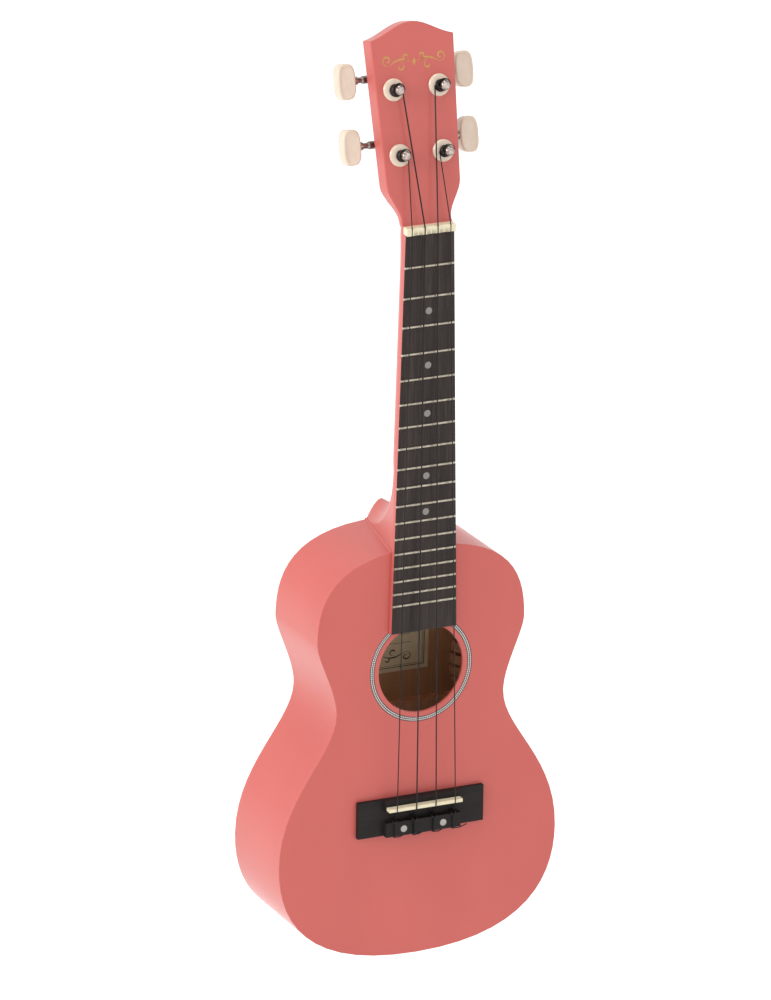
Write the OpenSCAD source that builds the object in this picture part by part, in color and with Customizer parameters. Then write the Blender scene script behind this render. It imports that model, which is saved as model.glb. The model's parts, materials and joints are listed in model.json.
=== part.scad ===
// Concert ukulele with a flat back, a tilted headstock and four geared tuners.
// The origin is on the centreline at the nut, in the plane of the soundboard.
// +Z runs up the neck to the headstock, the soundboard faces -Y, and bass is at -X.

/* [Neck] */
// Open string length, from the nut to the saddle before compensation
scale_length = 380; // [375:1:385]
// Number of frets
fret_count = 18; // [16:1:18]
// Half the fretboard's width at the nut
nut_half_width = 16.9; // [16:0.1:17.5]
// Half the fretboard's width at its lower end
board_end_half_width = 23; // [21.5:0.1:23.5]
// Length of the fretboard
board_length = 264.3; // [264:0.1:266]
// Thickness of the fretboard
board_thickness = 3.4; // [3:0.1:4.6]
// Depth of the neck behind the fretboard at the nut
neck_depth = 13.5; // [12.5:0.5:15]
// Height of the nut above the neck
nut_height = 5.5; // [5.1:0.1:7]

/* [Headstock] */
// How far the headstock leans back, in degrees
head_tilt = 12.7; // [10:0.1:14]
// Thickness of the headstock
head_thickness = 12; // [11.5:0.5:13]
// Distance from the nut to the side corners of the crest
crest_corner = 122.4; // [118:0.2:126]
// Height of the crest's wave above its corners
crest_rise = 9.9; // [6:0.1:12]
// Half the headstock's width at the crest
crest_half_width = 28.8; // [27:0.1:30]
// Half the headstock's width at the lower flare
flare_half_width = 25.5; // [24.5:0.1:26.5]

/* [Body] */
// Half the width of the upper bout
upper_bout = 73.2; // [70:0.1:76]
// Half the width of the waist
waist = 59.2; // [57:0.1:62]
// Half the width of the lower bout
lower_bout = 98.7; // [96:0.1:101]
// Depth of the body at the neck
depth_at_neck = 63.9; // [62:0.1:67]
// Depth of the body at the tail
depth_at_tail = 72.2; // [68:0.1:74]
// Thickness of the soundboard and of the back
plate = 2; // [1.8:0.1:2.5]
// Thickness of the bent sides
rib = 2; // [1.6:0.1:2.4]
// Radius of the soundhole
hole_radius = 29.8; // [27:0.1:30.5]

/* [Bridge] */
// Length of the bridge
bridge_length = 89.2; // [84:0.1:95]
// Thickness of the bridge's wings
wing_height = 3.2; // [2.8:0.1:4]
// Height of the saddle's top above the soundboard
saddle_height = 10.9; // [10:0.1:12]

/* [Tuners] */
// Number of teeth on each gear
gear_teeth = 14; // [14:1:14]
// Radius of a string post
post_radius = 3; // [2.8:0.1:3.1]
// Height of a post above the headstock
post_height = 11.6; // [10:0.1:13]
// Height of a button, along the headstock
button_height = 23.5; // [20:0.5:25]
// Thickness of a button
button_thickness = 8.8; // [7:0.2:9]

/* [Hidden] */
$fn = 48;
STRINGS = ["g", "c", "e", "a"];

coral = [0.87, 0.46, 0.43];
ebony = [0.2, 0.18, 0.17];
bone = [0.92, 0.87, 0.76];
ivory = [0.95, 0.9, 0.82];
steel = [0.75, 0.74, 0.72];
cedar = [0.62, 0.44, 0.28];

// Body outline: five stations down the right side, each [half width, z, heading,
// length of the curve handle before it, length of the curve handle after it].
body_top = -208.8;
body_tail = -487.5;
STATIONS = [
    [0, body_top, [1, 0], 0, 64.3],
    [upper_bout, -265.4, [0, -1], 27.2, 10.8],
    [waist, -314.9, [0, -1], 16.3, 26.7],
    [lower_bout, -414.4, [0, -1], 48.5, 35.5],
    [0, body_tail, [-1, 0], 80.2, 0]
];
outline_steps = 14;
back_tilt = atan((depth_at_tail - depth_at_neck) / (body_top - body_tail));
lining_width = 6;
lining_height = 8;
back_lining_height = 12;
brace_height = 9;
neck_block_z = [-232, -205];
tail_block_z = [-490, -475.5];
hole_z = -291.3;
rosette_inner = 33;
rosette_outer = 36.1;
rosette_depth = 0.8;
label_size = [70, 0.3, 54];
label_x = 1;
label_z = -290.5;

// Fretboard, frets and nut
fret_crown = 0.8;
fret_width = 1.7;
fret_tang = [0.6, 1.6];
dot_frets = [3, 5, 7, 10, 12];
dot_radius = 2.25;
dot_depth = 1;
nut_length = 5;
scallop_radius = 10;
scallop_depth = 0.45;
dowel_radius = 4;
dowel_range = [-228, -200];

// Neck: rounded section, then a heel swept round a quarter of an ellipse, whose two radii are
// its depth and its length
neck_side = 1.1;
heel_start = -158.5;
heel_sweep = [48, 37.5];
heel_cap = 63;
heel_end = -214;
heel_taper = 0.52;
heel_nose = 13;
heel_point_power = 1.7;
head_foot = 31;
head_waist = 8;
volute_depth = 5;
volute_reach = [20, 22];
ledge_back = [0, 0.953, -0.303];

// Strings, bass side first: radius, x at the nut, x at the saddle, and the post that holds each.
string_radius = [0.34, 0.46, 0.42, 0.34];
nut_pitch = 8.95;
saddle_pitch = 13.77;
post_x = [-15, -15.7, 15.7, 15];
post_s = [49.5, 90.7, 90.7, 49.5];

// Bridge, from its upper edge down
bridge_top = -376.8;
bridge_width = 24.5;
block_half_length = 26.6;
ledge_height = 6.4;
saddle_z = -382;
saddle_thickness = 2.3;
saddle_seat = 2;
tie_block_z = -391.6;
tie_block_height = 7.4;
tie_hole_height = 4.4;
tie_hole_radius = 0.9;
bridge_dot_x = 14;
bridge_dot_z = -396.8;
bridge_screw_radius = 1.1;
saddle_half_length = 26;

// Tuners, in the headstock's frame: x across, y up the head, z out of its face.
// The worm lies above the post's axis and behind the headstock.
tuner_pitch = 1.95;
gear_pitch_radius = gear_teeth * tuner_pitch / (2 * PI);
worm_offset = 7;
worm_pitch_radius = worm_offset - gear_pitch_radius;
tooth_height = 0.42;
gear_width = 3.2;
plate_thickness = 1;
worm_depth = head_thickness + 5.5;
worm_half_length = 4.5;
shaft_radius = 2;
running_gap = 0.05;
tab_thickness = 1;
tab_gap = 0.25;
tenon_radius = 2;
gear_screw_radius = 1;
bushing_radius = 4.6;
bushing_depth = 9;
flange_radius = 7.1;
flange_height = 2.3;
winding_start = 2.6;
string_hole_height = 8.6;
button_in = 34.4;
button_out = 47;
button_bore = 1.5;
plate_half_width = 7;
plate_ends = [-12, 16.5];
screw_places = [-9, 13.5];
plate_screw_length = 8.5;
plate_screw_radius = 1.25;
tab_half_width = 3;

function fret_z(n) = -scale_length * (1 - pow(2, -n / 12));
function board_half_width(z) = nut_half_width - (board_end_half_width - nut_half_width) * z / board_length;
function string_nut_x(i) = (i - 1.5) * nut_pitch;
function string_saddle_x(i) = (i - 1.5) * saddle_pitch;
function tuner_side(i) = i < 2 ? -1 : 1;

// Point on a cubic curve, and its direction.
function bezier(a, b, c, d, t) =
    pow(1 - t, 3) * a + 3 * pow(1 - t, 2) * t * b + 3 * (1 - t) * t * t * c + pow(t, 3) * d;
function bezier_heading(a, b, c, d, t) =
    let (v = pow(1 - t, 2) * (b - a) + 2 * (1 - t) * t * (c - b) + t * t * (d - c)) v / norm(v);

// One point of the body outline, moved inwards by inset.
function outline_point(i, t, inset) =
    let (
        p = STATIONS[i],
        q = STATIONS[i + 1],
        a = [p[0], p[1]],
        d = [q[0], q[1]],
        b = a + p[2] * p[4],
        c = d - q[2] * q[3],
        h = bezier_heading(a, b, c, d, t)
    )
    bezier(a, b, c, d, t) + inset * [h[1], -h[0]];

function right_half(inset) = [
    for (i = [0:3]) for (k = [0:outline_steps - 1]) outline_point(i, k / outline_steps, inset),
    outline_point(3, 1, inset)
];

module body_outline(inset = 0) {
    right = right_half(inset);
    last = len(right) - 1;
    polygon(concat(right, [for (k = [last - 1:-1:1]) [-right[k][0], right[k][1]]]));
}

// Extrudes a shape drawn in x and z from y = front to y = back.
module slab(front, back) {
    translate([0, back, 0]) rotate([90, 0, 0]) linear_extrude(back - front) children();
}

// Everything between two planes parallel to the back, measured forwards from its outer face.
module back_layer(from, to) {
    translate([0, depth_at_neck, body_top])
        rotate([back_tilt, 0, 0])
            translate([-150, -to, -300]) cube([300, to - from, 320]);
}

module behind_back(inset) {
    back_layer(-40, inset);
}

module soundboard() {
    color(coral) difference() {
        slab(0, plate) body_outline();
        slab(-1, plate + 1) translate([0, hole_z]) circle(hole_radius);
        slab(-1, rosette_depth) translate([0, hole_z]) difference() {
            circle(rosette_outer);
            circle(rosette_inner);
        }
        bridge_screw_holes();
    }
}

module bridge_screw_holes() {
    for (x = [-1, 1]) slab(-20, 10) translate([x * bridge_dot_x, bridge_dot_z]) circle(bridge_screw_radius);
}

module rosette() {
    color("gray") slab(0, rosette_depth) translate([0, hole_z]) difference() {
        circle(rosette_outer);
        circle(rosette_inner);
    }
}

module back_plate() {
    color(coral) intersection() {
        slab(40, 90) body_outline();
        back_layer(0, plate);
    }
}

module side(sign) {
    color(coral) difference() {
        slab(plate, 90) difference() {
            body_outline();
            body_outline(rib);
            translate([sign > 0 ? -200 : 0, -500]) square([200, 400]);
        }
        behind_back(plate);
        dowels();
    }
}

module end_block(z_range, half_width) {
    color(cedar) difference() {
        slab(plate, 90) intersection() {
            body_outline(rib);
            translate([-half_width, z_range[0]]) square([2 * half_width, z_range[1] - z_range[0]]);
        }
        behind_back(plate);
        if (z_range[1] > body_top) dowels();
    }
}

module lining_ring() {
    difference() {
        body_outline(rib);
        body_outline(rib + lining_width);
        translate([-28.5, neck_block_z[0]]) square([57, 40]);
        translate([-32.5, tail_block_z[0]]) square([65, tail_block_z[1] - tail_block_z[0]]);
    }
}

module soundboard_linings() {
    color(cedar) slab(plate, plate + lining_height) lining_ring();
}

module back_linings() {
    color(cedar) intersection() {
        slab(40, 90) lining_ring();
        back_layer(plate, plate + back_lining_height);
    }
}

module brace_bar(z, width) {
    intersection() {
        body_outline(rib + lining_width + 0.3);
        translate([-100, z - width / 2]) square([200, width]);
    }
}

module soundboard_braces() {
    color(cedar) {
        slab(plate, plate + brace_height) brace_bar(-246, 7);
        slab(plate, plate + brace_height) brace_bar(-335, 7);
    }
}

module back_braces() {
    color(cedar) for (z = [-256, -341]) {
        intersection() {
            slab(40, 90) brace_bar(z, 8);
            back_layer(plate, plate + brace_height);
        }
    }
}

module bridge_plate() {
    color(cedar) difference() {
        slab(plate, plate + 1.6) translate([-35, -406]) square([70, 34]);
        bridge_screw_holes();
    }
}

module label() {
    color("tan") translate([0, depth_at_neck, body_top])
        rotate([back_tilt, 0, 0])
            translate([label_x - label_size[0] / 2, -plate - label_size[1], label_z - body_top - label_size[2] / 2])
                cube(label_size);
}

module dowels() {
    for (y = [18, 42]) translate([0, y, dowel_range[0]])
        cylinder(h = dowel_range[1] - dowel_range[0], r = dowel_radius);
}

module neck_dowels() {
    color("burlywood") dowels();
}

// The headstock's frame: y up the head, z out of its face.
module on_head() {
    rotate([90 - head_tilt, 0, 0]) children();
}

function head_half_width(s) =
    s < head_waist ? nut_half_width + 0.3 :
    s > head_foot ? flare_half_width
        + (crest_half_width - flare_half_width) * (s - head_foot) / (crest_corner - head_foot) :
    let (t = (s - head_waist) / (head_foot - head_waist))
    nut_half_width + 0.3 + (flare_half_width - nut_half_width - 0.3) * t * t * (3 - 2 * t);

// Rings of the neck run from its left edge along the back to the right edge, and return along
// the flat front. Each ring has the same fractions of its half width.
fractions = [for (a = [-90:15:90]) sin(a)];
function bulge(u) = sqrt(max(0, 1 - u * u));

// Ring with its front on a flat face: origin is on the face, back is the direction of depth,
// and side is how much of the depth is straight.
function neck_ring(origin, back, width, depth, side) = concat(
    [for (u = fractions) origin + [u * width, 0, 0] + back * (side + (depth - side) * bulge(u))],
    [origin + [width, 0, 0], origin - [width, 0, 0]]
);

// Ring of the heel, in a plane through the centre of the heel's ellipse.
function heel_arc(angle) =
    heel_sweep[0] * heel_sweep[1] / norm([heel_sweep[1] * cos(angle), heel_sweep[0] * sin(angle)]);
function heel_width(p) = board_half_width(p[2]) * (1 - heel_taper * p[1] / heel_cap);
function heel_point(angle, reach) =
    [0, heel_cap, heel_start] - (heel_arc(angle) + reach) * [0, cos(angle), sin(angle)];
function heel_reach(angle) = min(
    heel_cap / max(cos(angle), 0.001),
    (heel_start - heel_end) / max(sin(angle), 0.001)
) - heel_arc(angle);
function across(p, u) = p + [u * heel_width(p), 0, 0];
function heel_bulge(angle, u) =
    let (t = angle / 90)
    (1 - t) * bulge(u) + t * (1 - pow(abs(u), heel_point_power));
function heel_ring(angle) = concat(
    [for (u = fractions) across(heel_point(angle, heel_nose * (1 - heel_bulge(angle, u))), u)],
    [for (u = [1, -1]) across(heel_point(angle, heel_reach(angle)), u)]
);

heel_corner = atan((heel_start - heel_end) / heel_cap);
heel_angles = [0, 8, 16, 24, 32, 40, heel_corner, 54, 62, 70, 78, 84, 90];
head_up = [0, sin(head_tilt), cos(head_tilt)];
head_back = [0, cos(head_tilt), -sin(head_tilt)];
function shaft_depth(z) = neck_depth + (heel_cap - heel_sweep[0] - neck_depth) * z / heel_start;

// The neck is deeper where it meets the headstock.
function volute(s) =
    let (t = max(0, 1 - abs(s) / volute_reach[s > 0 ? 1 : 0]))
    volute_depth * pow(t, 1.5);
function head_side(s) =
    let (t = min(s / head_foot, 1))
    neck_side + (head_thickness - neck_side) * t * t * (3 - 2 * t);

// Joins rings of equally many points into one closed solid with flat ends.
module loft(rings) {
    n = len(rings[0]);
    last = len(rings) - 1;
    polyhedron(
        points = [for (r = rings) each r],
        faces = concat(
            [[for (k = [-1:n - 2]) (k + n) % n]],
            [for (i = [0:last - 1]) for (k = [0:n - 1]) let (m = (k + 1) % n, a = i * n, b = a + n)
                each [[a + k, b + k, b + m], [a + k, b + m, a + m]]],
            [[for (k = [n - 1:-1:0]) last * n + k]]
        )
    );
}

// Everything above the wave along the top of the headstock.
crest_steps = 14;
crest_waste = [40, 30];
function crest_wave(u) = crest_rise * (0.36 * (1 + cos(180 * u)) + 0.28 * (1 - u * u));
module above_crest() {
    on_head() translate([0, 0, -head_thickness - 1]) linear_extrude(head_thickness + 2)
        translate([0, crest_corner]) polygon(concat(
            [for (k = [-crest_steps:crest_steps])
                let (u = k / crest_steps) [u * crest_half_width, crest_wave(u)]],
            [for (p = [[1, 0], [1, 1], [-1, 1], [-1, 0]]) [p[0] * crest_waste[0], p[1] * crest_waste[1]]]
        ));
}

// The neck, its headstock and its heel are carved from one piece.
module neck() {
    color(coral) difference() {
        loft(concat(
            [for (s = [crest_corner + crest_rise + 1, head_foot, 28, 25, 22, 19, 16, 13, 10, head_waist, 5.6])
                neck_ring(head_up * s, head_back, head_half_width(s), head_thickness + volute(s), head_side(s))],
            [neck_ring(
                [0, 0, nut_length], ledge_back, nut_half_width + 0.3,
                neck_depth - 0.3 + volute(nut_length), neck_side
            )],
            [for (z = [-3, -7, -12, -volute_reach[0], heel_start + 10])
                neck_ring([0, 0, z], [0, 1, 0], board_half_width(z), shaft_depth(z) + volute(z), neck_side)],
            [for (a = heel_angles) heel_ring(a)]
        ));
        above_crest();
        slab(-1, 90) body_outline();
        dowels();
        for (i = [0:3]) on_head() translate([post_x[i], post_s[i], 0]) {
            translate([0, 0, -bushing_depth]) cylinder(h = bushing_depth + 1, r = bushing_radius);
            translate([0, 0, -head_thickness - 1]) cylinder(h = head_thickness, r = post_radius + 0.4);
            for (y = screw_places) translate([0, y, -head_thickness - plate_thickness])
                cylinder(h = plate_screw_length + 0.5, r = plate_screw_radius);
        }
    }
}

module fretboard() {
    color(ebony) difference() {
        slab(-board_thickness, 0) polygon([
            [-nut_half_width, 0],
            [nut_half_width, 0],
            [board_end_half_width, -board_length],
            [-board_end_half_width, -board_length]
        ]);
        for (n = [1:fret_count])
            translate([-30, -board_thickness - 1, fret_z(n) - fret_tang[0] / 2])
                cube([60, fret_tang[1] + 1, fret_tang[0]]);
        slab(-board_thickness - 1, -board_thickness + dot_depth) dots();
    }
}

module dots() {
    for (n = dot_frets) translate([0, (fret_z(n) + fret_z(n - 1)) / 2]) circle(dot_radius);
}

module fret_dots() {
    color("lightgray") slab(-board_thickness, -board_thickness + dot_depth) dots();
}

// Fret wire: a crown that is part of a circle, on a thin tang.
module fret_wire(length) {
    radius = (pow(fret_width / 2, 2) + pow(fret_crown, 2)) / (2 * fret_crown);
    rotate([0, 90, 0]) linear_extrude(length, center = true) {
        intersection() {
            translate([0, radius - fret_crown]) circle(radius);
            translate([-fret_width, -fret_crown - 1]) square([2 * fret_width, fret_crown + 1]);
        }
        translate([-fret_tang[0] / 2, -0.1]) square([fret_tang[0], fret_tang[1] + 0.1]);
    }
}

module frets() {
    color(steel) for (n = [1:fret_count])
        translate([0, -board_thickness, fret_z(n)]) fret_wire(2 * board_half_width(fret_z(n)));
}

string_at_nut = -nut_height + 0.2;
string_at_saddle = -saddle_height - 0.2;

module nut() {
    color(bone) difference() {
        intersection() {
            translate([-nut_half_width - 0.2, -nut_height, 0])
                cube([2 * nut_half_width + 0.4, nut_height, nut_length]);
            translate([-30, -nut_height + 4, nut_length - 4]) rotate([0, 90, 0]) cylinder(h = 60, r = 5.2);
        }
        for (i = [0:3]) translate([string_nut_x(i), string_at_nut, -1])
            cylinder(h = nut_length + 2, r = string_radius[i] + running_gap);
        for (i = [0:2])
            translate([string_nut_x(i) + nut_pitch / 2, scallop_depth - nut_height - scallop_radius, -1])
                cylinder(h = nut_length + 2, r = scallop_radius);
    }
}

module bridge() {
    color(ebony) difference() {
        union() {
            slab(-wing_height, 0) translate([-bridge_length / 2, bridge_top - bridge_width])
                square([bridge_length, bridge_width]);
            translate([-block_half_length, -ledge_height, saddle_z - saddle_thickness / 2 - 1])
                cube([2 * block_half_length, ledge_height, bridge_top - saddle_z + saddle_thickness / 2 + 1]);
            translate([-block_half_length, -tie_block_height, bridge_top - bridge_width])
                cube([2 * block_half_length, tie_block_height, tie_block_z - bridge_top + bridge_width]);
        }
        translate([-saddle_half_length, -saddle_height, saddle_z - saddle_thickness / 2])
            cube([2 * saddle_half_length, saddle_height - saddle_seat, saddle_thickness]);
        for (i = [0:3]) translate([string_saddle_x(i), -tie_hole_height, bridge_top - bridge_width - 1])
            cylinder(h = bridge_width, r = tie_hole_radius);
        bridge_screw_holes();
        for (x = [-1, 1]) slab(-20, -tie_block_height + 3) translate([x * bridge_dot_x, bridge_dot_z])
            circle(dot_radius);
    }
}

module saddle() {
    color(bone) difference() {
        slab(-saddle_height, -saddle_seat) translate([-saddle_half_length, saddle_z - saddle_thickness / 2])
            square([2 * saddle_half_length, saddle_thickness]);
        for (i = [0:3]) translate([string_saddle_x(i), string_at_saddle, saddle_z - 5])
            cylinder(h = 10, r = string_radius[i] + running_gap);
    }
}

// A pearl cap lies over each bridge screw.
module bridge_dots() {
    color("lightgray") for (x = [-1, 1]) slab(-tie_block_height, -tie_block_height + 1)
        translate([x * bridge_dot_x, bridge_dot_z]) circle(dot_radius);
}

module bridge_screws() {
    color(steel) for (x = [-1, 1]) translate([x * bridge_dot_x, 0, bridge_dot_z]) rotate([90, 0, 0]) {
        translate([0, 0, -6]) cylinder(h = tie_block_height + 3, r = bridge_screw_radius);
        translate([0, 0, tie_block_height - 3]) cylinder(h = 1.8, r = dot_radius);
    }
}

// A tube of eight sides along a route, with mitred bends.
function unit(v) = v / norm(v);
tube_sides = 8;
function tube_ring(route, i, radius) =
    let (
        last = len(route) - 1,
        before = unit(route[max(i, 1)] - route[max(i, 1) - 1]),
        after = unit(route[min(i, last - 1) + 1] - route[min(i, last - 1)]),
        across = unit(cross(before, [1, 0, 0])),
        mitre = unit(before + after)
    )
    [for (k = [0:tube_sides - 1]) let (
        angle = 360 * (k + 0.5) / tube_sides,
        offset = radius * (cos(angle) * unit(cross(across, before)) + sin(angle) * across)
    ) route[i] + offset - before * (offset * mitre) / (before * mitre)];

module tube(route, radius) {
    loft([for (i = [0:len(route) - 1]) tube_ring(route, i, radius)]);
}

// Where a string leaves its winding, on the side of the post that faces the centreline.
function string_leave(i) =
    let (x = post_x[i] - tuner_side(i) * (post_radius + 3 * string_radius[i] + 0.1), h = winding_start + 1)
    [x, 0, 0] + head_up * (post_s[i] - 1) - head_back * h;

function string_route(i) =
    let (
        r = string_radius[i],
        x = string_saddle_x(i),
        low = bridge_top - bridge_width - r - 0.4,
        over = -tie_block_height - r - 0.2
    )
    [
        string_leave(i),
        [string_nut_x(i), string_at_nut, nut_length - 0.5],
        [string_nut_x(i), string_at_nut, 0],
        [x, string_at_saddle, saddle_z],
        [x, -tie_hole_height, tie_block_z + 1.5],
        [x, -tie_hole_height, low],
        [x + 0.3, over, low],
        [x + 1.6, over, tie_block_z - 0.5]
    ];

module string(i) {
    color("black") tube(string_route(i), string_radius[i]);
}

module at_post(i) {
    on_head() translate([post_x[i], post_s[i], 0]) children();
}

module tuner_bushings() {
    color(ivory) for (i = [0:3]) at_post(i) rotate_extrude() polygon([
        [post_radius + running_gap, -bushing_depth],
        [bushing_radius, -bushing_depth],
        [bushing_radius, 0],
        [flange_radius, 0],
        [flange_radius, 0.7],
        [flange_radius - 0.7, 1.5],
        [flange_radius - 2.4, 2.1],
        [post_radius + 1, flange_height],
        [post_radius + running_gap, flange_height]
    ]);
}

module post(i) {
    color(steel) at_post(i) difference() {
        rotate_extrude() polygon([
            [0, -worm_depth - gear_width / 2],
            [tenon_radius, -worm_depth - gear_width / 2],
            [tenon_radius, -worm_depth + gear_width / 2],
            [post_radius, -worm_depth + gear_width / 2],
            [post_radius, post_height - 1],
            [post_radius - 0.9, post_height],
            [0, post_height]
        ]);
        translate([0, 0, string_hole_height]) rotate([0, 90, 0])
            cylinder(h = 4 * post_radius, r = 0.8, center = true);
        translate([0, 0, -worm_depth - gear_width]) cylinder(h = gear_width + 4, r = gear_screw_radius);
    }
}

// Straight-sided tooth, its tip narrower than its root.
function tooth(n) =
    let (
        a = 90 + 360 * n / gear_teeth,
        foot = 180 * 1.15 / (PI * gear_pitch_radius) / 2,
        tip = 180 * 0.42 / (PI * gear_pitch_radius) / 2,
        low = gear_pitch_radius - tooth_height - 0.15,
        high = gear_pitch_radius + tooth_height
    )
    [for (p = [[low, a - foot], [high, a - tip], [high, a + tip], [low, a + foot]])
        p[0] * [cos(p[1]), sin(p[1])]];

lead_angle = atan(tuner_pitch / (2 * PI * worm_pitch_radius));

module gear(i) {
    slant = gear_width * tan(lead_angle) * 180 / (PI * gear_pitch_radius);
    color("goldenrod") at_post(i) translate([0, 0, -worm_depth - gear_width / 2]) difference() {
        rotate([0, 0, -slant / 2]) linear_extrude(gear_width, twist = -slant, slices = 2)
            polygon([for (n = [0:gear_teeth - 1]) each tooth(n)]);
        translate([0, 0, -1]) cylinder(h = gear_width + 2, r = tenon_radius);
    }
}

module gear_screw(i) {
    color(steel) at_post(i) difference() {
        rotate_extrude() polygon([
            [0, -worm_depth - gear_width / 2 - 1.6],
            [1.6, -worm_depth - gear_width / 2 - 1.6],
            [2.7, -worm_depth - gear_width / 2 - 0.7],
            [2.7, -worm_depth - gear_width / 2],
            [gear_screw_radius, -worm_depth - gear_width / 2],
            [gear_screw_radius, -worm_depth + gear_width / 2 + 0.7],
            [0, -worm_depth + gear_width / 2 + 0.7]
        ]);
        translate([-4, -0.35, -worm_depth - gear_width / 2 - 2]) cube([8, 0.7, 1]);
    }
}

module winding(i) {
    color("black") at_post(i) translate([0, 0, winding_start]) difference() {
        cylinder(h = 4.4, r = post_radius + 2 * string_radius[i]);
        translate([0, 0, -1]) cylinder(h = 7, r = post_radius);
    }
}

// Worm cross-section: one raised lobe on a round core, which a twist turns into a thread.
worm_steps = 12;
worm_root = worm_pitch_radius - tooth_height - 0.15;
worm_crest = worm_pitch_radius + tooth_height;
function worm_profile() = [for (k = [0:worm_steps - 1]) let (
    a = 360 * k / worm_steps,
    r = k <= 5 ? worm_root : (k == 6 || k == 11) ? worm_pitch_radius : worm_crest
) r * [cos(a), sin(a)]];

// The thread's phase puts the middle of its gap on the gear's tooth at the post's axis.
worm_phase = -165;

module worm(i) {
    s = tuner_side(i);
    turns = 2 * worm_half_length / tuner_pitch;
    worm_slices = ceil(turns * worm_steps);
    end = button_in - abs(post_x[i]);
    color(steel) at_post(i) translate([0, worm_offset, -worm_depth]) {
        rotate([0, 90, 0]) translate([0, 0, -worm_half_length])
            rotate([0, 0, worm_phase - 180 * turns])
                linear_extrude(
                    2 * worm_half_length, twist = -360 * turns, slices = worm_slices, segments = worm_steps
                ) polygon(worm_profile());
        rotate([0, s * 90, 0]) {
            translate([0, 0, -worm_half_length - 2.6]) cylinder(h = 2.6, r = shaft_radius);
            translate([0, 0, worm_half_length]) cylinder(h = 3, r = shaft_radius);
            translate([0, 0, worm_half_length + 1.8]) cylinder(h = 6.5, r = 2.6);
            translate([0, 0, worm_half_length + 8.3]) cylinder(h = 1.2, r1 = 2.6, r2 = 1.9);
            translate([0, 0, worm_half_length + 8.3]) cylinder(h = end - worm_half_length - 8.4, r = 1.9);
            translate([0, 0, end - 2]) cylinder(h = 1.9, r = 2.7);
            translate([0, 0, end - 1]) cylinder(h = 7, r = button_bore);
        }
    }
}

function superellipse(a, b, power, count) = [for (k = [0:count - 1]) let (t = 360 * k / count)
    [a * sign(cos(t)) * pow(abs(cos(t)), 2 / power), b * sign(sin(t)) * pow(abs(sin(t)), 2 / power)]];

module button(i) {
    middle = (button_in + button_out) / 2;
    s = tuner_side(i);
    color(ivory) on_head() translate([s * middle, post_s[i] + worm_offset, -worm_depth]) difference() {
        translate([0, 0, -button_thickness / 2]) linear_extrude(button_thickness)
            polygon(superellipse((button_out - button_in) / 2, button_height / 2, 3.4, 40));
        rotate([0, -s * 90, 0]) cylinder(h = 20, r = button_bore + 0.02);
    }
}

// Base plate with two tabs struck up from it, which carry the worm's shaft.
module tuner_plate(i) {
    s = tuner_side(i);
    color(steel) at_post(i) difference() {
        union() {
            translate([0, 0, -head_thickness - plate_thickness]) linear_extrude(plate_thickness) {
                translate([-plate_half_width, plate_ends[0] + 4])
                    square([2 * plate_half_width, plate_ends[1] - plate_ends[0] - 8]);
                for (y = [plate_ends[0] + 4, plate_ends[1] - 4]) translate([0, y]) {
                    translate([-plate_half_width + 4, -4]) square([2 * plate_half_width - 8, 8]);
                    for (x = [-1, 1]) translate([x * (plate_half_width - 4), 0]) circle(4);
                }
            }
            for (x = [-1, 1]) translate([x * (worm_half_length + tab_gap + tab_thickness / 2), worm_offset, 0]) {
                translate([-tab_thickness / 2, -tab_half_width, -worm_depth])
                    cube([tab_thickness, 2 * tab_half_width, worm_depth - head_thickness - 0.5]);
                translate([0, 0, -worm_depth]) rotate([0, 90, 0])
                    cylinder(h = tab_thickness, r = tab_half_width, center = true);
            }
        }
        translate([0, worm_offset, -worm_depth]) rotate([0, 90, 0])
            cylinder(h = 30, r = shaft_radius + running_gap, center = true);
        translate([0, 0, -head_thickness - 2]) cylinder(h = 3, r = post_radius + running_gap);
        for (y = screw_places) translate([0, y, -head_thickness - 2]) cylinder(h = 3, r = plate_screw_radius);
    }
}

module plate_screws() {
    color(steel) for (i = [0:3]) for (y = screw_places)
        at_post(i) translate([0, y, -head_thickness - plate_thickness]) difference() {
            rotate_extrude() polygon([
                [0, -1.4],
                [1.3, -1.3],
                [2.3, -0.8],
                [2.6, 0],
                [plate_screw_radius, 0],
                [plate_screw_radius, plate_screw_length - 1.5],
                [0, plate_screw_length]
            ]);
            for (turn = [0, 90]) rotate([0, 0, turn]) translate([-1.5, -0.3, -2]) cube([3, 0.6, 1.5]);
        }
}

soundboard();
back_plate();
side(-1);  // side_bass
side(1);  // side_treble
end_block(neck_block_z, 28);  // neck_block
end_block(tail_block_z, 32);  // tail_block
soundboard_linings();
back_linings();
soundboard_braces();
back_braces();
bridge_plate();
label();
rosette();
neck();
neck_dowels();
fretboard();
frets();
fret_dots();
nut();
bridge();
saddle();
bridge_screws();
bridge_dots();
tuner_bushings();
plate_screws();
for (i = [0:3]) {
    string(i);
    tuner_plate(i);
    post(i);
    gear(i);
    gear_screw(i);
    winding(i);
    worm(i);
    button(i);
}
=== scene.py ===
"""Concert ukulele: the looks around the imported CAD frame."""
import json
import math

import bmesh
import bpy
from mathutils import Matrix, Vector


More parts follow.
